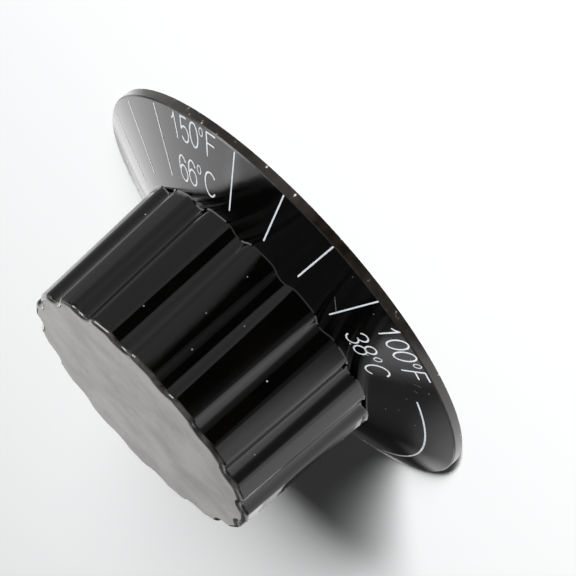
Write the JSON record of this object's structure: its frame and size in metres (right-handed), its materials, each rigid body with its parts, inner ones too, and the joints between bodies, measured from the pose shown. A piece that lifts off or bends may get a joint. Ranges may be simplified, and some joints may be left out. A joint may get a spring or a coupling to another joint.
{
  "type": "thermostat knob",
  "caption": "Black fluted push-on knob with a sloping dial skirt marked in degrees, and a hollow back with a split hub, spring ring and flatted shaft bore.",
  "frame": {"origin": "on the shaft's axis, in the plane of the skirt's back rim, on which the knob stands", "axes": "+Z along the shaft's axis from the back rim to the grip's front face; +X through the middle of a grip land; the shaft's flat is on the +Y side"},
  "size_m": [0.06, 0.06, 0.025],
  "materials": {
    "knob_plastic": "glossy black moulding with fine scratches and dust",
    "spring_steel": "bright rolled spring steel",
    "dial_print": "thin white pad print"
  },
  "bodies": {
    "root": {"knob_body": "knob_plastic", "hub_spring_ring": "spring_steel"}
  },
  "joints": []
}
